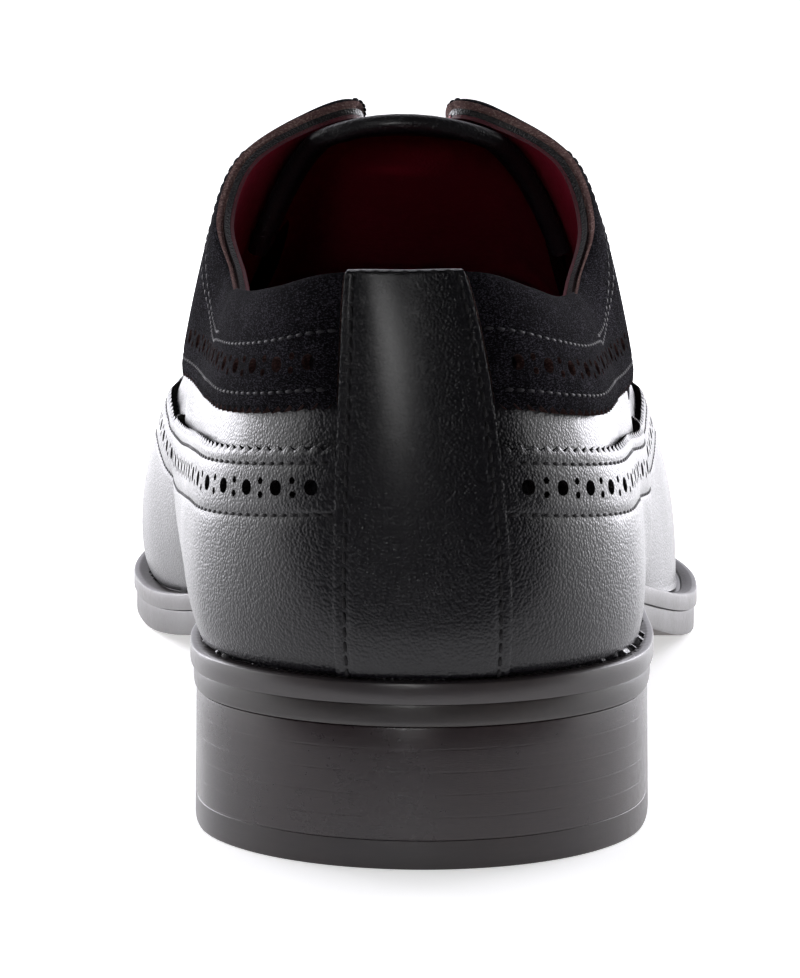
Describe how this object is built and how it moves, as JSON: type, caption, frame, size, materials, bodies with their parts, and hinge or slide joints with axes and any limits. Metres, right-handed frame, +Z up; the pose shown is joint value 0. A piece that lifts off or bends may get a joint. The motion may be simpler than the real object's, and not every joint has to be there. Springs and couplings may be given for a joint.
{
  "type": "wingtip shoe",
  "caption": "Right wingtip derby shoe with long calf wings, suede quarters, a backstay, a welted leather sole and a stacked heel.",
  "frame": {"origin": "centre of the heel's ground face", "axes": "+Y to the toe along the heel's middle line, +X to the outer side of the right foot, +Z up"},
  "size_m": [0.11, 0.3035, 0.1039],
  "materials": {
    "calf": "polished black calf",
    "suede": "charcoal suede nap",
    "welt": "dyed and polished edge",
    "sole": "dyed edge, leather tread",
    "heel": "stacked leather, polished",
    "lift": "matte rubber",
    "lining": "deep red lining leather",
    "lace": "waxed round cotton lace"
  },
  "bodies": {
    "root": {"top_lift": "lift", "heel_stack": "heel", "outsole": "sole", "welt": "welt", "insole": "lining", "upper": "calf", "wing": "calf", "quarter_outer": "suede", "quarter_inner": "suede", "backstay": "calf", "tongue": "calf", "lace": "lace"}
  },
  "joints": []
}
